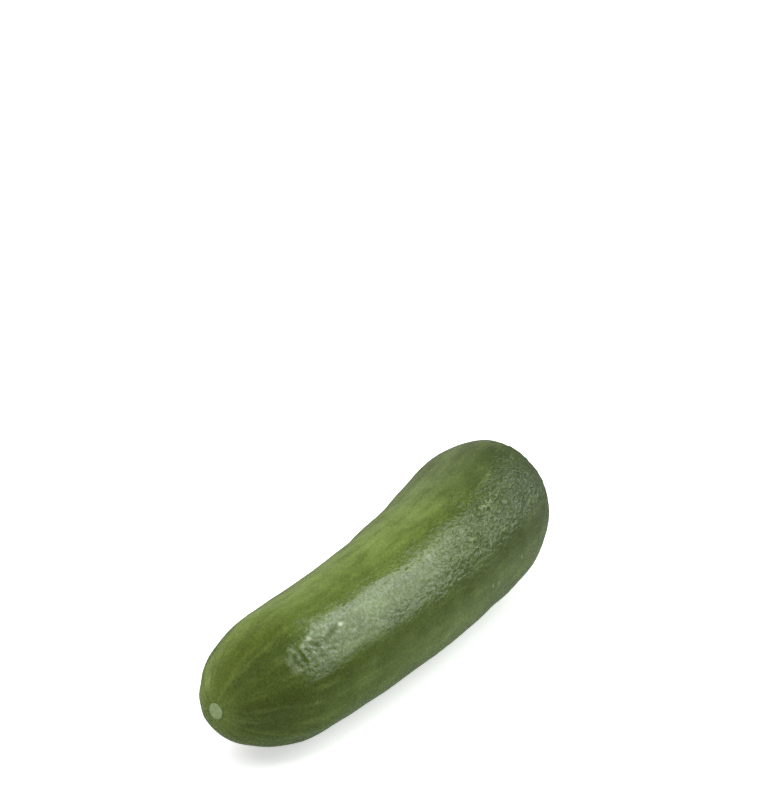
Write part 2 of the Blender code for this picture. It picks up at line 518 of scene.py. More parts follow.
def crinkledness(s, angle):
    """How crinkled the skin is: 1 in a band along the top of the stem half, nearly 0 on the smooth
    half, on the hollow side and low on the outer side. Towards the stem the band widens. Its lower
    edge starts a little sooner, with a soft spot ahead of it."""
    widened = 8 * soft_step(s, 0.080, 0.095) + 12 * soft_step(s, 0.105, 0.125)
    turn = turn_from(angle, 130) + widened * (angle < np.radians(130))
    band = soft_step(turn, -12, -3) * (1 - soft_step(turn, 25, 34))
    sooner = 0.005 * soft_step(turn, 8, 18)
    stem_half = soft_step(s, 0.045 - sooner, 0.095 - 2 * sooner) * (0.15 + 0.85 * band)
    ahead = 0.35 * spot(s, angle, 0.047, 0.007, 150, 6)
    return 0.12 + 0.88 * stem_half + 0.28 * wrinkled_patch(s, angle) + ahead


def bending(points, cells, seeds):
    """Noise in three directions, which bends another noise's pattern."""
    return np.stack([noise(points / (cells * MM), seed) for seed in seeds], axis=-1)


def drawn_out(field, how_far):
    """Noise with deeper low places: less how_far times what it lies under LOW_NOISE."""
    return field - how_far * np.clip(LOW_NOISE - field, 0, None)


def crinkles(points, strength):
    """Two layers of noise in cells that are longer along the fruit, with pits."""
    warp = CRINKLE_BEND * bending(points, CRINKLE_WARP, CRINKLE_WARP_SEEDS)
    coarse = noise(points / (COARSE_CRINKLE * MM) + warp, COARSE_SEED)
    fine = noise(points / (FINE_CRINKLE * MM) + warp, FINE_SEED)
    return strength * drawn_out(coarse + FINE_CRINKLE_SHARE * fine, CRINKLE_PITS)


def wrinkles(points, strength):
    """Wider waves of noise, stretched round the girth, with folds in their low places."""
    warp = WRINKLE_BEND * bending(points, WRINKLE_WARP, WRINKLE_WARP_SEEDS)
    waves = noise(points / (WRINKLE * MM) + warp, WRINKLE_SEED)
    return strength * drawn_out(waves, WRINKLE_PITS)


def beside_mark(s, radius, angle, place, heading=0.0):
    """Millimetres along and across a mark, from its middle, at every point of the skin."""
    along = s / MM - place[0]
    across = np.radians(turn_from(angle, place[1])) * radius / MM
    turn = math.radians(heading)
    return (
        along * math.cos(turn) + across * math.sin(turn),
        across * math.cos(turn) - along * math.sin(turn),
    )


def folds(s, radius, angle):
    """Short valleys with raised lips: a bell curve along each, times a bell curve across it, times
    a square across it less one."""
    total = np.zeros_like(s)
    for *place, length, width, heading, depth in FOLDS:
        along, across = beside_mark(s, radius, angle, place, heading)
        valley = depth * bump(along, length / 2) * bump(across, width)
        total += valley * (1.3 * (across / width) ** 2 - 1)
    return total


def dots(s, radius, angle, marks):
    """How much each small round mark shows on it, and 0 elsewhere."""
    total = np.zeros_like(s)
    for *place, size, share in marks:
        along, across = beside_mark(s, radius, angle, place)
        total += share * (1 - soft_step(np.hypot(along, across), size * 0.4, size * 1.2))
    return total


def lay_down(shape, s, radius, angle):
    """Bends the straight fruit round bend_radius and lays it on the floor, belly pressed flat."""
    from_middle = s - shape.length / 2
    turn = from_middle / shape.bend_radius
    to_centre = shape.bend_radius - radius * np.cos(angle)
    x = to_centre * np.sin(turn)
    y = shape.bend_radius - to_centre * np.cos(turn)
    lift = shape.end_lift * (from_middle / (shape.length / 2)) ** 2
    z = body_radius(shape, s) + lift - shape.flat_depth + radius * np.sin(angle)
    return np.stack((x, y, np.maximum(z, 0)), axis=-1)


def spread(line, crowding, count):
    """Places along a line, as many as asked, so that there is the same sum of crowding between
    each two neighbours."""
    total = np.concatenate(([0], np.cumsum((crowding[1:] + crowding[:-1]) / 2)))
    return np.interp(np.linspace(0, total[-1], count), total, line)


def ring_runs(rings, run):
    """Where the rings lie along the outline, from tip to tip: crowded at each tip, where the
    scars are, and closer where the skin is crinkled than where it is smooth."""
    line = np.linspace(0, run[-1], RUN_SAMPLES)
    crowding = 0.7 + 2.2 * bump(line, 0.006) + 1.6 * bump(run[-1] - line, 0.006)
    crowding += 0.7 * bump(line - 0.023, 0.007) + 0.9 * soft_step(line, 0.050, 0.075)
    return spread(line, crowding, rings)


def angles_round(around):
    """Where the vertices of each ring lie round it: up to twice as far apart on the belly, which
    faces the floor, as elsewhere."""
    line = np.linspace(-np.pi, np.pi, TURN_SAMPLES)
    crowding = 1 - 0.5 * bump(turn_from(line, -75), 55)
    return spread(line, crowding, around + 1)[:-1]


def upper_side(angle):
    """1 on the top and most of the hollow side, falling to 0.15 towards the belly either way."""
    return 1 - 0.85 * soft_step(np.abs(turn_from(angle, 75)), 65, 118)


def paleness(s, angle):
    """1 on the hollow side, 0 elsewhere: two soft steps round the fruit, of which the upper one
    lies higher on the nose and halfway along. The nose's top is less pale, and the stem half is
    less pale on the hollow side as painted shadow. On the stem half a faint pale stripe of painted
    light runs low on the outer side."""
    turn = turn_from(angle, 55)
    nose = 1 - soft_step(s, 0.008, 0.020)
    widened = 8 * bump(s - 0.070, 0.028) + 9 * nose
    pale = soft_step(turn, -125, -65) * (1 - soft_step(turn - widened, 10, 60))
    pale *= 1 - 0.55 * nose * soft_step(turn, -2, 22)
    # Painted shadow of neighbouring fruit: the stem half is less pale on the hollow side
    pale *= 1 - 0.2 * soft_step(s, 0.045, 0.075) * (1 - soft_step(turn, 5, 35))
    # Painted light: a faint pale stripe low on the outer side of the stem half
    return pale + 0.25 * soft_step(s, 0.038, 0.068) * bump(turn_from(angle, 205), 22)


def stem_darkness_and_painted_shadow(s, angle):
    """How much darker the skin is towards the stem end, on its upper side: partly the skin's own
    darker stem end, and partly painted shadow of neighbouring fruit.
    """
    return soft_step(s, 0.055, 0.135) * upper_side(angle)


def oliveness(s, angle):
    """How much darker the skin is in a stripe low on the outer side, in soft spots on the blossom
    end and on the crown beside the shine, and on top of the stem end. Each takes its share of the
    light that the others leave."""
    stripe = 0.48 * bump(turn_from(angle, 168), 20)
    nose = 0.62 * spot(s, angle, 0.010, 0.009, 120, 38)
    chin = 0.52 * spot(s, angle, 0.007, 0.014, 203, 38)
    cheek = 0.38 * spot(s, angle, 0.009, 0.006, 82, 13)
    cheek += 0.34 * (1 - soft_step(s, 0.0035, 0.0070)) * bump(turn_from(angle, 88), 34)
    crown = 0.30 * spot(s, angle, 0.072, 0.018, 115, 7)
    tail = 0.22 * soft_step(s, 0.094, 0.112) * bump(turn_from(angle, 132), 26)
    return 1 - math.prod(1 - share for share in (stripe, nose, chin, cheek, crown, tail))


def yellowness(s, angle):
    """How yellow the skin is: in a stripe that starts wide at the blossom end and runs along the
    upper side, up to where the bloom lies thick."""
    middle = 94 + 23 * soft_step(s, 0.004, 0.024)
    width = 18 - 8 * soft_step(s, 0.006, 0.022)
    along = (1 - 0.6 * bump(s - 0.034, 0.012)) * (1 - soft_step(s, 0.080, 0.104))
    return bump(turn_from(angle, middle), width) * along


TONES = (paleness, stem_darkness_and_painted_shadow, oliveness)


def corkiness(shape, run_here, run_left, angle):
    """1 on the disc of the blossom scar and on the oval stub of the stem scar, 0 elsewhere."""
    scar, stub = shape.scar_radius, shape.stub_radius
    on_disc = 1 - soft_step(run_here, scar - DISC_CORK_INSIDE, scar + DISC_CORK_OUTSIDE)
    from_middle = as_if_round(run_left, angle)
    on_stub = 1 - soft_step(from_middle, stub - STUB_CORK_EDGE, stub + STUB_CORK_EDGE)
    return np.maximum(on_disc, on_stub)


def waxiness(s, angle):
    """How thick the wax lies: full on the smooth half, a little thicker on the wrinkled patch,
    thin on the upper side of the stem half, and rubbed off above the shine, in a band halfway
    along and a spot behind the blossom end."""
    thin = 0.88 * soft_step(s, 0.036, 0.100) * upper_side(angle)
    turn = turn_from(angle, 118)
    rubbed = soft_step(turn, -34, -22) * (1 - soft_step(turn, 0, 6))
    rubbed *= soft_step(s, 0.046, 0.060) * (1 - soft_step(s, 0.092, 0.112))
    rubbed += spot(s, angle, 0.0185, 0.0035, 116, 6)
    return (1 - thin + 0.25 * wrinkled_patch(s, angle)) * (1 - 0.88 * rubbed)


def dustiness(s, angle):
    """How thick the dusty bloom lies: on the stem half, least on its crinkled top and most on its
    outer shoulder, and in a stripe low on the outer side."""
    low = bump(turn_from(angle, -155), 42)
    off_top = 1 - soft_step(turn_from(angle, 0), 75, 105)
    stem_half = soft_step(s, 0.050, 0.115) * (0.15 + 0.85 * np.maximum(low, off_top))
    shoulder = 0.85 * soft_step(s, 0.100, 0.122) * bump(turn_from(angle, 175), 25)
    return stem_half + shoulder + 0.5 * low * soft_step(s, 0.02, 0.05)


def patchiness(s, angle):
    """How patchy the wax is: 1 along the top of the outer side, where it is rubbed."""
    along = soft_step(s, 0.008, 0.016) - 0.4 * bump(s - 0.040, 0.014)
    return bump(turn_from(angle, 140), 30) * along


def settled(field, s, radius):
    """Near a tip, what varies round the fruit goes over to its mean round it, over a longer way
    at the stem end."""
    mean = field.mean(axis=1, keepdims=True)
    full = np.where(s > HALF_WAY, SETTLED_FULL_AT_STEM, SETTLED_FULL)
    return mean + soft_step(radius, SETTLED_START, full) * (field - mean)


def broad_relief(shape, relief, s, radius, angle):
    """Height of the lobes, lumps, ribs and swellings, which fade at the tips."""
    turning = relief.lobe * np.cos(LOBE_COUNT * angle + LOBE_PHASE)
    turning += relief.lump * lumps(s, angle) + ribs(shape, relief, s, angle)
    turning += relief.swelling * swellings(s, angle)
    return soft_step(radius, TURNING_START, TURNING_FULL) * turning


def patchy_crinkledness(straight, s, radius, angle):
    """How crinkled the skin is, more in some places than in others by a clipped noise."""
    uneven = 1 + 0.5 * noise(straight / (UNEVEN_CRINKLE * MM), UNEVEN_SEED)
    return settled(crinkledness(s, angle), s, radius) * np.clip(uneven, *UNEVEN_RANGE)


def tone_fields(s, radius, angle):
    """What the material reads about tones, marks, wax and bloom."""
    return {
        "tones": np.stack([settled(tone(s, angle), s, radius) for tone in TONES], axis=-1),
        "patchy": patchiness(s, angle),
        "glints_and_specks": dots(s, radius, angle, PAINTED_GLINTS_AND_SPECKS),
        "stained": dots(s, radius, angle, STAINS),
        "waxed": settled(waxiness(s, angle), s, radius),
        "dusty": settled(dustiness(s, angle), s, radius),
        "yellowed": settled(yellowness(s, angle), s, radius),
    }


def fruit_surface(shape, relief):
    """The skin's points, a rings by around by 3 array, and the values that its material reads: the
    profile is turned round a straight spine, raised along its normal by the relief, bent and laid
    down."""
    run, s_line, radius_line, normal_s, normal_r = profile(shape)
    here = ring_runs(shape.rings, run)
    here, angle = np.meshgrid(here, angles_round(shape.around), indexing="ij")
    left = run[-1] - here
    s = np.interp(here, run, s_line)
    radius = np.interp(here, run, radius_line)
    straight = straightened(s, radius, angle)
    crinkled = patchy_crinkledness(straight, s, radius, angle)
    wrinkled = 0.25 + 0.9 * wrinkled_patch(s, angle)
    off_tip = soft_step(radius, FINE_START, FINE_FULL)
    crinkle = crinkles(straight, crinkled * off_tip)
    fold = folds(s, radius, angle)
    height = broad_relief(shape, relief, s, radius, angle)
    height += blossom_scar(shape, here) + stem_scar(shape, left, angle)
    height += relief.crinkle * crinkle + relief.wrinkle * wrinkles(straight, wrinkled * off_tip)
    height += relief.fold * fold
    raised_s = s + height * np.interp(here, run, normal_s)
    raised_radius = np.maximum(radius + height * np.interp(here, run, normal_r), 0)
    points = lay_down(shape, raised_s, raised_radius, angle)
    even_radius = (shape.blossom_radius + shape.stem_radius) / 2
    fields = {
        "skin_mm": straight / MM,
        "streak_mm": straightened(here, even_radius, angle) / MM,
        "cork": corkiness(shape, here, left, angle),
        "crinkled": crinkled,
        # Dents and folds: the colour gets painted shade there, and the roughness and wax change
        "dented": np.clip(-1.2 * crinkle - 0.2, 0, 1) + 0.8 * np.clip(-fold, 0, 1),
        **tone_fields(s, radius, angle),
    }
    return points - middle_of(points), fields


def middle_of(points):
    """Middle of the points' box on the floor plane."""
    flat = points.reshape(-1, 3)
    return (flat.min(axis=0) + flat.max(axis=0)) / 2 * (1, 1, 0)


def one_per_vertex(grid):
    """Values in the order of the mesh's vertices: first tip, rings between, last tip."""
    width = grid.shape[2:]
    return np.concatenate((grid[0, :1], grid[1:-1].reshape(-1, *width), grid[-1, :1]))


def closed_mesh(name, points, fields):
    """A ball-shaped mesh from a grid of rings: quads between rings, and a fan round each tip,
    where a whole ring is one vertex."""
    rings, around = points.shape[:2]
    index = 1 + np.arange((rings - 2) * around).reshape(rings - 2, around)
    beside = np.roll(index, -1, axis=1)
    quads = np.stack((index[:-1], beside[:-1], beside[1:], index[1:]), axis=-1).reshape(-1, 4)
    last = np.full(around, index[-1, -1] + 1)
    first_fan = np.stack((np.zeros(around, int), beside[0], index[0]), axis=-1)
    last_fan = np.stack((last, index[-1], beside[-1]), axis=-1)
    mesh = bpy.data.meshes.new(name)
    faces = quads.tolist() + first_fan.tolist() + last_fan.tolist()
    mesh.from_pydata(one_per_vertex(points), [], faces)
    for field, grid in fields.items():
        is_vector = grid.ndim == 3
        kind, key = ("FLOAT_VECTOR", "vector") if is_vector else ("FLOAT", "value")
        attribute = mesh.attributes.new(field, kind, "POINT")
        attribute.data.foreach_set(key, one_per_vertex(grid).astype(np.float32).ravel())
    mesh.shade_smooth()
    mesh.update()
    return mesh


class Graph:
    """Adds nodes to a node tree and joins them."""

    def __init__(self, tree):
        self.tree = tree

    def feed(self, socket, value):
        """Gives an input a value, or joins it to another node's output."""
        if isinstance(value, bpy.types.NodeSocket):
            self.tree.links.new(value, socket)
        else:
            socket.default_value = value

    def node(self, kind, inputs=None, **settings):
        """A node, with its settings and what goes into its inputs, by name or number."""
        made = self.tree.nodes.new("ShaderNode" + kind)
        for name, value in settings.items():
            setattr(made, name, value)
        for key, value in (inputs or {}).items():
            self.feed(made.inputs[key], value)
        return made

    def math(self, operation, *values):
        """A sum, power or the like of numbers."""
        return self.node("Math", dict(enumerate(values)), operation=operation).outputs[0]

    def times(self, first, second):
        """A product of two numbers."""
        return self.math("MULTIPLY", first, second)

    def line(self, value, slope, start):
        """A number times a slope, plus a start."""
        return self.math("MULTIPLY_ADD", value, slope, start)

    def vector(self, operation, first, second):
        """A vector or colour times or over another, part by part."""
        return self.node("VectorMath", {0: first, 1: second}, operation=operation).outputs[0]

    def step(self, value, start, end, low=0.0, high=1.0):
        """Low before start, high after end, smooth between them."""
        inputs = {"Value": value, "From Min": start, "From Max": end, "To Min": low, "To Max": high}
        return self.node("MapRange", inputs, interpolation_type="SMOOTHSTEP").outputs[0]

    def mix(self, share, first, second, blend="MIX"):
        """One colour over another by a share."""
        inputs = {0: share, 6: first, 7: second}
        return self.node("Mix", inputs, data_type="RGBA", blend_type=blend).outputs[2]

    def blend(self, share, first, second):
        """One number over another by a share."""
        return self.node("Mix", {0: share, 2: first, 3: second}, data_type="FLOAT").outputs[0]

    def field(self, name):
        """A value that the mesh carries for each of its points."""
        return self.node("Attribute", attribute_name=name).outputs["Vector"]

    def number(self, name):
        """A single number that the mesh carries for each of its points."""
        return self.node("Attribute", attribute_name=name).outputs["Fac"]

    def noise(self, position, size, detail=2.0, kind="FBM"):
        """Cloudy noise from 0 to 1, whose clouds are about size across."""
        scale = self.math("DIVIDE", 1.0, size)
        inputs = {"Vector": position, "Scale": scale, "Detail": detail}
        return self.node("TexNoise", inputs, noise_type=kind).outputs["Fac"]


def new_material(name):
    """A material, the graph of its nodes, and its shader's inputs."""
    material = bpy.data.materials.new(name)
    material.use_nodes = True
    tree = material.node_tree
    return material, Graph(tree), tree.nodes["Principled BSDF"].inputs


def new_group(name, inputs, output):
    """An empty node group with named inputs, each a kind of socket and a value, and one number
    out. Returns its graph, what its inputs give, and the socket that takes its result."""
    tree = bpy.data.node_groups.new(name, "ShaderNodeTree")
    for label, (kind, value) in inputs.items():
        socket = tree.interface.new_socket(label, in_out="INPUT", socket_type="NodeSocket" + kind)
        if kind == "Float":
            socket.default_value = value
    tree.interface.new_socket(output, in_out="OUTPUT", socket_type="NodeSocketFloat")
    graph = Graph(tree)
    source = tree.nodes.new("NodeGroupInput").outputs
    result = tree.nodes.new("NodeGroupOutput").inputs[0]
    return graph, source, result


def streaks_group():
    """Noise stretched along the fruit, in streaks of a given length and width."""
    inputs = {"Position": ("Vector", None), "Length": ("Float", 20.0), "Width": ("Float", 1.5)}
    graph, source, result = new_group("streaks", inputs, "Value")
    length, width = source["Length"], source["Width"]
    stretch = graph.node("CombineXYZ", {0: length, 1: width, 2: width}).outputs[0]
    place = graph.vector("DIVIDE", source["Position"], stretch)
    graph.feed(result, graph.noise(place, 1.0, detail=2.5))
    return graph.tree


def grain_group():
    """Height of a fine grain: small cells with a finer roughness on them."""
    inputs = {"Position": ("Vector", None), "Size": ("Float", 0.5)}
    graph, source, result = new_group("grain", inputs, "Height")
    cells = graph.noise(source["Position"], source["Size"], detail=1.0)
    finer_size = graph.times(source["Size"], 0.42)
    finer = graph.noise(source["Position"], finer_size, detail=1.0)
    graph.feed(result, graph.math("ADD", cells, graph.times(finer, 0.45)))
    return graph.tree


def ridges_group():
    """Height of small crumpled dents and ridges of a given spacing, longer along the fruit."""
    inputs = {"Position": ("Vector", None), "Spacing": ("Float", 1.3)}
    graph, source, result = new_group("ridges", inputs, "Height")
    place = graph.vector("MULTIPLY", source["Position"], RIDGE_SQUEEZE)
    waves = graph.noise(place, source["Spacing"], detail=1.2)
    graph.feed(result, graph.step(waves, 0.24, 0.70))
    return graph.tree


def specks_group():
    """Round specks at random: one in a share of the cells of a given spacing."""
    inputs = {
        "Position": ("Vector", None),
        "Spacing": ("Float", 7.0),
        "Radius": ("Float", 0.5),
        "Share": ("Float", 0.3),
    }
    graph, source, result = new_group("specks", inputs, "Mask")
    scale = graph.math("DIVIDE", 1.0, source["Spacing"])
    cells = graph.node("TexVoronoi", {"Vector": source["Position"], "Scale": scale})
    distance = graph.times(cells.outputs["Distance"], source["Spacing"])
    inner = graph.times(source["Radius"], 0.45)
    disc = graph.step(distance, inner, source["Radius"], 1.0, 0.0)
    draw = graph.node("SeparateColor", {0: cells.outputs["Color"]}).outputs[0]
    chosen = graph.math("LESS_THAN", draw, source["Share"])
    graph.feed(result, graph.times(disc, chosen))
    return graph.tree


def use_group(graph, group, **inputs):
    """Places a node group and gives its one output."""
    made = graph.tree.nodes.new("ShaderNodeGroup")
    made.node_tree = group
    for name, value in inputs.items():
        graph.feed(made.inputs[name.capitalize()], value)
    return made.outputs[0]


def green_tones(graph, look, broad):
    """Body green, paler on the hollow side in broad streaks, and darker towards the stem end and in
    its olive places. Some of the paleness is painted light, and some of the stem end's darkening is
    painted shadow.
    """
    pale, dark, olive = graph.node("SeparateXYZ", {0: graph.field("tones")}).outputs
    uneven = graph.line(broad, PALE_UNEVENNESS, 1 - PALE_UNEVENNESS / 2)
    colour = graph.mix(graph.times(pale, uneven), look.body, look.pale)
    # Stem shade: the darker stem end, partly painted shadow on the upper side
    colour = graph.mix(dark, colour, look.shade, blend="MULTIPLY")
    return graph.mix(olive, colour, look.olive, blend="MULTIPLY")


def add_streaks(graph, look, colour, along, broad, fine):
    """Pale and deep streaks over a colour. On the nose they are fainter and mostly broad."""
    run = graph.node("SeparateXYZ", {0: along}).outputs[0]
    nose = graph.step(run, NOSE_START, NOSE_END, 1.0, 0.0)
    fine_share = graph.blend(nose, FINE_STREAK_SHARE, FINE_STREAK_SHARE_AT_NOSE)
    strength = graph.blend(nose, STREAK_STRENGTH, STREAK_STRENGTH_AT_NOSE)
    streaks = graph.blend(fine_share, broad, fine)
    lighter = graph.times(graph.step(streaks, 0.50, 0.66), strength)
    colour = graph.mix(lighter, colour, look.pale)
    deeper = graph.times(graph.step(streaks, 0.50, 0.36), strength)
    return graph.mix(deeper, colour, look.deep)


def add_crinkle_highlight_and_shade(graph, look, groups, colour, skin):
    """Painted highlights on the crests and painted shade in the dents, over a colour, where the
    skin is crinkled.
    """
    crinkled = graph.number("crinkled")
    ridges = use_group(graph, groups["ridges"], position=skin, spacing=RIDGE_SPACING)
    crumpled = graph.step(crinkled, 0.30, 1.10, 0.0, CREST_HIGHLIGHT_STRENGTH)
    # Painted highlight: crests mixed towards the pale green
    crests = graph.times(graph.step(ridges, 0.45, 1.0), crumpled)
    colour = graph.mix(crests, colour, look.pale)
    # Painted shade: low places between ridges, and dents and folds, mixed towards the deep green
    dents = graph.times(graph.math("SUBTRACT", 1.0, ridges), crinkled)
    dents = graph.math("MAXIMUM", dents, graph.number("dented"))
    return graph.mix(graph.times(dents, DENT_SHADE_STRENGTH), colour, look.deep)


def add_marks(graph, look, groups, colour, skin):
    """Specks, stains and pale spots over a colour; most of the pale spots are painted glints."""
    specks = use_group(graph, groups["specks"], position=skin, **SPECKS)
    colour = graph.mix(graph.times(specks, SPECK_STRENGTH), colour, look.pale)
    stains = graph.times(graph.number("stained"), STAIN_STRENGTH)
    colour = graph.mix(stains, colour, look.deep)
    return graph.mix(graph.number("glints_and_specks"), colour, look.glint_and_speck)


def add_cork(graph, look, colour, grain):
    """Grainy cork over a colour on the scars, in a darker rim."""
    cork = graph.number("cork")
    corky = graph.mix(graph.step(grain, 0.35, 1.0), look.pale, look.cork)
    colour = graph.mix(graph.step(cork, 0.0, 0.5, 0.0, CORK_RIM_STRENGTH), colour, look.deep)
    return graph.mix(graph.step(cork, 0.45, 1.0), colour, corky)


def skin_colour(graph, look, groups, skin):
    """Colour of the skin, one over the other: green tones with some painted light and shadow,
    streaks that run to the tips, clouds and grain, crinkles with painted highlights and shade,
    dusty bloom, a yellower stripe, marks with painted glints, and cork."""
    along = graph.field("streak_mm")
    broad = use_group(graph, groups["streaks"], position=along, **BROAD_STREAK)
    fine = use_group(graph, groups["streaks"], position=along, **FINE_STREAK)
    grain = use_group(graph, groups["grain"], position=skin, size=SKIN_GRAIN_SIZE)
    cloud = graph.noise(skin, CLOUD_SIZE, detail=3.0)
    colour = green_tones(graph, look, broad)
    colour = add_streaks(graph, look, colour, along, broad, fine)
    shade = graph.math("ADD", grain, SHADE_OFFSET)
    shade = graph.line(cloud, CLOUD_STRENGTH, shade)
    colour = graph.vector("MULTIPLY", colour, shade)
    colour = add_crinkle_highlight_and_shade(graph, look, groups, colour, skin)
    dust = graph.line(cloud, BLOOM_CLOUDS, BLOOM_STRENGTH)
    dust = graph.times(graph.number("dusty"), dust)
    colour = graph.mix(dust, colour, look.bloom)
    colour = graph.mix(graph.number("yellowed"), colour, look.yellow, blend="MULTIPLY")
    colour = add_marks(graph, look, groups, colour, skin)
    return add_cork(graph, look, colour, grain)


def skin_roughness(graph, look, grain):
    """Roughness of the skin: more in its grain, under thin wax, in dents and on the cork."""
    least, most = (look.roughness + change for change in ROUGHNESS_ON_GRAIN)
    rough = graph.step(grain, 0.45, 1.0, least, most)
    bare = graph.line(graph.number("waxed"), -BARE_ROUGHNESS, BARE_ROUGHNESS)
    rough = graph.math("ADD", rough, bare)
    rough = graph.line(graph.number("dented"), DENT_ROUGHNESS, rough)
    return graph.line(graph.number("cork"), CORK_ROUGHNESS, rough)


def wax_weight(graph, look, skin, grain):
    """Weight of the wax: grainy, patchy where it is rubbed, and thin in dents and on the cork."""
    mottle = graph.noise(skin, MOTTLE_SIZE, detail=3.0)
    mottled = graph.step(mottle, 0.34, 0.66, *WAX_IN_PATCHES)
    patches = graph.blend(graph.number("patchy"), 1.0, mottled)
    wax = graph.times(patches, graph.step(grain, 0.58, 0.88, *WAX_ON_GRAIN))
    wax = graph.times(wax, graph.number("waxed"))
    for place in ("dented", "cork"):
        left = graph.line(graph.number(place), -WAX_LOST, 1.0)
        wax = graph.times(wax, left)
    return graph.times(wax, look.wax)


def skin_material(look, relief):
    """Waxy skin: the colour, a glossy skin that is rougher on the stem half, a wax over its smooth
    half, and bump for the grain of the wax and the sharpest crinkles."""
    material, graph, shader = new_material("cucumber_skin")
    groups = {
        "streaks": streaks_group(),
        "grain": grain_group(),
        "ridges": ridges_group(),
        "specks": specks_group(),
    }
    shader["IOR"].default_value = SKIN_IOR
    shader["Specular IOR Level"].default_value = SPECULAR
    shader["Coat Roughness"].default_value = look.wax_roughness
    skin = graph.field("skin_mm")
    grain = use_group(graph, groups["grain"], position=skin, size=WAX_GRAIN_SIZE)
    ridges = use_group(graph, groups["ridges"], position=skin, spacing=RIDGE_SPACING)
    raised = graph.times(ridges, graph.number("crinkled"))
    height = graph.line(raised, relief.ridge / relief.grain, grain)
    bumped = graph.node("Bump", {"Height": height, "Strength": 1.0, "Distance": relief.grain})
    graph.feed(shader["Base Color"], skin_colour(graph, look, groups, skin))
    graph.feed(shader["Roughness"], skin_roughness(graph, look, grain))
    graph.feed(shader["Coat Weight"], wax_weight(graph, look, skin, grain))
    graph.feed(shader["Normal"], bumped.outputs[0])
    return material


class CUCUMBER_OT_fruit(bpy.types.Operator):
    """Build the fruit: its closed, crinkled surface and its waxy skin"""

    bl_idname = "cucumber.fruit"
    bl_label = "Fruit"

    def execute(self, context):
        scene = context.scene
        points, fields = fruit_surface(scene.cucumber_shape, scene.cucumber_relief)
        mesh = closed_mesh("cucumber_skin", points, fields)
        mesh.materials.append(skin_material(scene.cucumber_skin, scene.cucumber_relief))
        fruit = bpy.data.objects.new("cucumber_skin", mesh)
        scene.collection.objects.link(fruit)
        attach(fruit, "root")
        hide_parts(NODE)
        return {"FINISHED"}


def bearing(studio, angle):
    """Level direction at an angle from the way the camera looks, towards its right."""
    turn = studio.camera_turn
    right = Vector((math.cos(turn), -math.sin(turn), 0))
    ahead = Vector((math.sin(turn), math.cos(turn), 0))
    return math.cos(angle) * ahead + math.sin(angle) * right


def add_camera(scene, studio):
    """Stands the camera where its height, distance and turn put it, level, looking down."""
    ahead = bearing(studio, 0)
    right = bearing(studio, math.pi / 2)
    camera = bpy.data.objects.new("camera", bpy.data.cameras.new("camera"))
    camera.data.lens = studio.lens
    camera.data.clip_start = CAMERA_NEAREST
    foot = -studio.camera_distance * ahead - studio.camera_offset * right
    camera.location = foot + Vector((0, 0, studio.camera_height))
    look = math.cos(studio.camera_pitch) * ahead - Vector((0, 0, math.sin(studio.camera_pitch)))
    camera.rotation_euler = look.to_track_quat("-Z", "Y").to_euler()
    scene.collection.objects.link(camera)
    scene.camera = camera


def add_window(scene, studio):
    """An upright soft box like a tall window, brightest high up at its near edge. Its edges are
    where its bearings and elevations from the fruit put them."""
    middle = (WINDOW_FROM + WINDOW_TO) / 2
    distance = studio.window_distance
    width = 2 * distance * math.tan((WINDOW_TO - WINDOW_FROM) / 2)
    bottom = distance * math.tan(WINDOW_BOTTOM)
    top = distance * math.tan(WINDOW_TOP)
    data = bpy.data.lights.new("window", "AREA")
    data.shape = "RECTANGLE"
    data.size = width
    data.size_y = top - bottom
    data.energy = studio.window_radiance * math.pi * width * (top - bottom)
    data.color = WINDOW_TINT
    data.use_nodes = True
    graph = Graph(data.node_tree)
    across = graph.node("NewGeometry").outputs["Parametric"]
    side, up, _ = graph.node("SeparateXYZ", {0: across}).outputs
    from_side = graph.step(side, *WINDOW_SIDE_RAMP, WINDOW_SIDE_DIMMING, 1.0)
    from_foot = graph.step(up, *WINDOW_FOOT_RAMP, WINDOW_FOOT_DIMMING, 1.0)
    dimmed = graph.times(from_side, from_foot)
    graph.feed(data.node_tree.nodes["Emission"].inputs["Strength"], dimmed)
    window = bpy.data.objects.new("window", data)
    away = bearing(studio, middle)
    window.location = away * distance + Vector((0, 0, (bottom + top) / 2))
    window.rotation_euler = (-away).to_track_quat("-Z", "Y").to_euler()
    window.visible_camera = False
    scene.collection.objects.link(window)


def add_fill(scene, studio):
    """A wide, soft light from overhead and a little to the left, which the wax doesn't mirror."""
    data = bpy.data.lights.new("fill", "SUN")
    data.angle = FILL_ANGLE
    data.energy = studio.fill
    fill = bpy.data.objects.new("fill", data)
    aside = bearing(studio, FILL_BEARING) * math.sin(FILL_TILT)
    down = -Vector((0, 0, math.cos(FILL_TILT))) - aside
    fill.rotation_euler = down.to_track_quat("-Z", "Y").to_euler()
    fill.visible_glossy = False
    scene.collection.objects.link(fill)


def grey(value):
    """A colour without hue."""
    return (value, value, value, 1.0)


def studio_tone(graph, seen, mirrored, lighting):
    """A colour for what the camera sees, one for what the wax mirrors, and one for the light that
    is sent on."""
    path = graph.node("LightPath").outputs
    sent = graph.mix(path["Is Glossy Ray"], lighting, mirrored)
    return graph.mix(path["Is Camera Ray"], sent, seen)


def beyond(graph, studio, place, start, end):
    """1 on the far side of the fruit, ahead of the camera and to its left, 0 elsewhere."""
    inputs = {0: place, 1: bearing(studio, SWEEP_BEARING)}
    ahead = graph.node("VectorMath", inputs, operation="DOT_PRODUCT").outputs["Value"]
    return graph.step(ahead, start, end)


def from_spine(graph, place):
    """Distance over the floor from a straight line under the fruit's spine."""
    x, y, _ = graph.node("SeparateXYZ", {0: place}).outputs
    past_end = graph.math("SUBTRACT", graph.math("ABSOLUTE", x), SPINE_REACH)
    past_end = graph.math("MAXIMUM", past_end, 0.0)
    squares = graph.line(past_end, past_end, graph.math("POWER", y, 2.0))
    return graph.math("SQRT", squares)


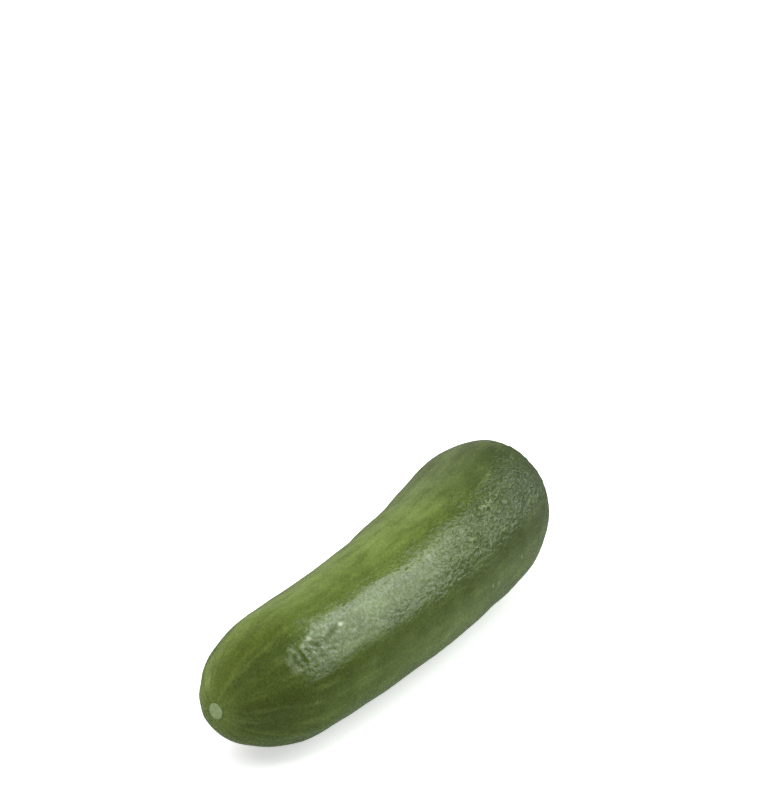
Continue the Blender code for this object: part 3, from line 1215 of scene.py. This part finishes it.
def floor_material(studio):
    """Matt white with a glow. The wax mirrors a green-grey glow close to the fruit, and the pale
    backdrop's light beyond it."""
    material, graph, shader = new_material("floor")
    tone = studio_tone(graph, grey(FLOOR_SEEN), grey(0.0), grey(FLOOR_LIGHTING))
    graph.feed(shader["Base Color"], tone)
    place = graph.node("TexCoord").outputs["Object"]
    far = graph.mix(beyond(graph, studio, place, *SWEEP_ON_FLOOR), grey(0.0), SWEEP_MIRRORED)
    mirrored = graph.mix(graph.step(from_spine(graph, place), *GLOW_FADE), GLOW_MIRRORED, far)
    glow = studio_tone(graph, grey(GLOW_SEEN), mirrored, grey(GLOW_LIGHTING))
    graph.feed(shader["Emission Color"], glow)
    shader["Emission Strength"].default_value = 1.0
    shader["Roughness"].default_value = FLOOR_ROUGHNESS
    shader["Specular IOR Level"].default_value = 0.0
    return material


def add_floor(scene, studio):
    """A wide round floor, just under the fruit."""
    angle = np.linspace(0, 2 * np.pi, FLOOR_SIDES, endpoint=False)
    x, y = FLOOR_RADIUS * np.cos(angle), FLOOR_RADIUS * np.sin(angle)
    rim = np.stack((x, y, np.full(FLOOR_SIDES, -FLOOR_GAP)), axis=1)
    mesh = bpy.data.meshes.new("floor")
    mesh.from_pydata(rim, [], [list(range(FLOOR_SIDES))])
    mesh.materials.append(floor_material(studio))
    floor = bpy.data.objects.new("floor", mesh)
    scene.collection.objects.link(floor)


def add_world(scene, studio):
    """White to the camera, and dim walls to the fruit. The wax mirrors dark walls, with the foot of
    a pale backdrop beyond the fruit."""
    world = bpy.data.worlds.new("studio")
    world.use_nodes = True
    graph = Graph(world.node_tree)
    way = graph.node("TexCoord").outputs["Generated"]
    low = graph.step(graph.node("SeparateXYZ", {0: way}).outputs[2], *SWEEP_TOP, 1.0, 0.0)
    share = graph.times(low, beyond(graph, studio, way, *SWEEP_SIDES))
    mirrored = graph.mix(share, grey(WALLS_MIRRORED), SWEEP_MIRRORED)
    tone = studio_tone(graph, grey(1.0), mirrored, grey(studio.surround))
    graph.feed(world.node_tree.nodes["Background"].inputs["Color"], tone)
    scene.world = world


class CUCUMBER_OT_studio(bpy.types.Operator):
    """Set up the studio: camera, soft box, fill light, floor and world"""

    bl_idname = "cucumber.studio"
    bl_label = "Studio"

    def execute(self, context):
        scene = context.scene
        studio = scene.cucumber_studio
        add_camera(scene, studio)
        add_window(scene, studio)
        add_fill(scene, studio)
        add_floor(scene, studio)
        add_world(scene, studio)
        scene.view_settings.view_transform = "Standard"
        return {"FINISHED"}


GROUPS = {
    "cucumber_shape": FruitShape,
    "cucumber_relief": FruitRelief,
    "cucumber_skin": SkinLook,
    "cucumber_studio": StudioLook,
}


class CUCUMBER_PT_panel(bpy.types.Panel):
    """The cucumber's operators and settings"""

    bl_idname = "CUCUMBER_PT_panel"
    bl_label = "Mini Cucumber"
    bl_space_type = "VIEW_3D"
    bl_region_type = "UI"
    bl_category = "Cucumber"

    def draw(self, context):
        for operator in (CUCUMBER_OT_fruit, CUCUMBER_OT_studio):
            self.layout.operator(operator.bl_idname)
        for name, group in GROUPS.items():
            box = self.layout.box()
            for setting in group.__annotations__:
                box.prop(getattr(context.scene, name), setting)


CLASSES = (*GROUPS.values(), CUCUMBER_OT_fruit, CUCUMBER_OT_studio, CUCUMBER_PT_panel)


def register():
    for cls in CLASSES:
        bpy.utils.register_class(cls)
    for name, cls in GROUPS.items():
        setattr(bpy.types.Scene, name, PointerProperty(type=cls))


def unregister():
    for name in GROUPS:
        delattr(bpy.types.Scene, name)
    for cls in reversed(CLASSES):
        bpy.utils.unregister_class(cls)


def main():
    register()
    bpy.ops.cucumber.fruit()
    bpy.ops.cucumber.studio()


if __name__ == "__main__":
    main()
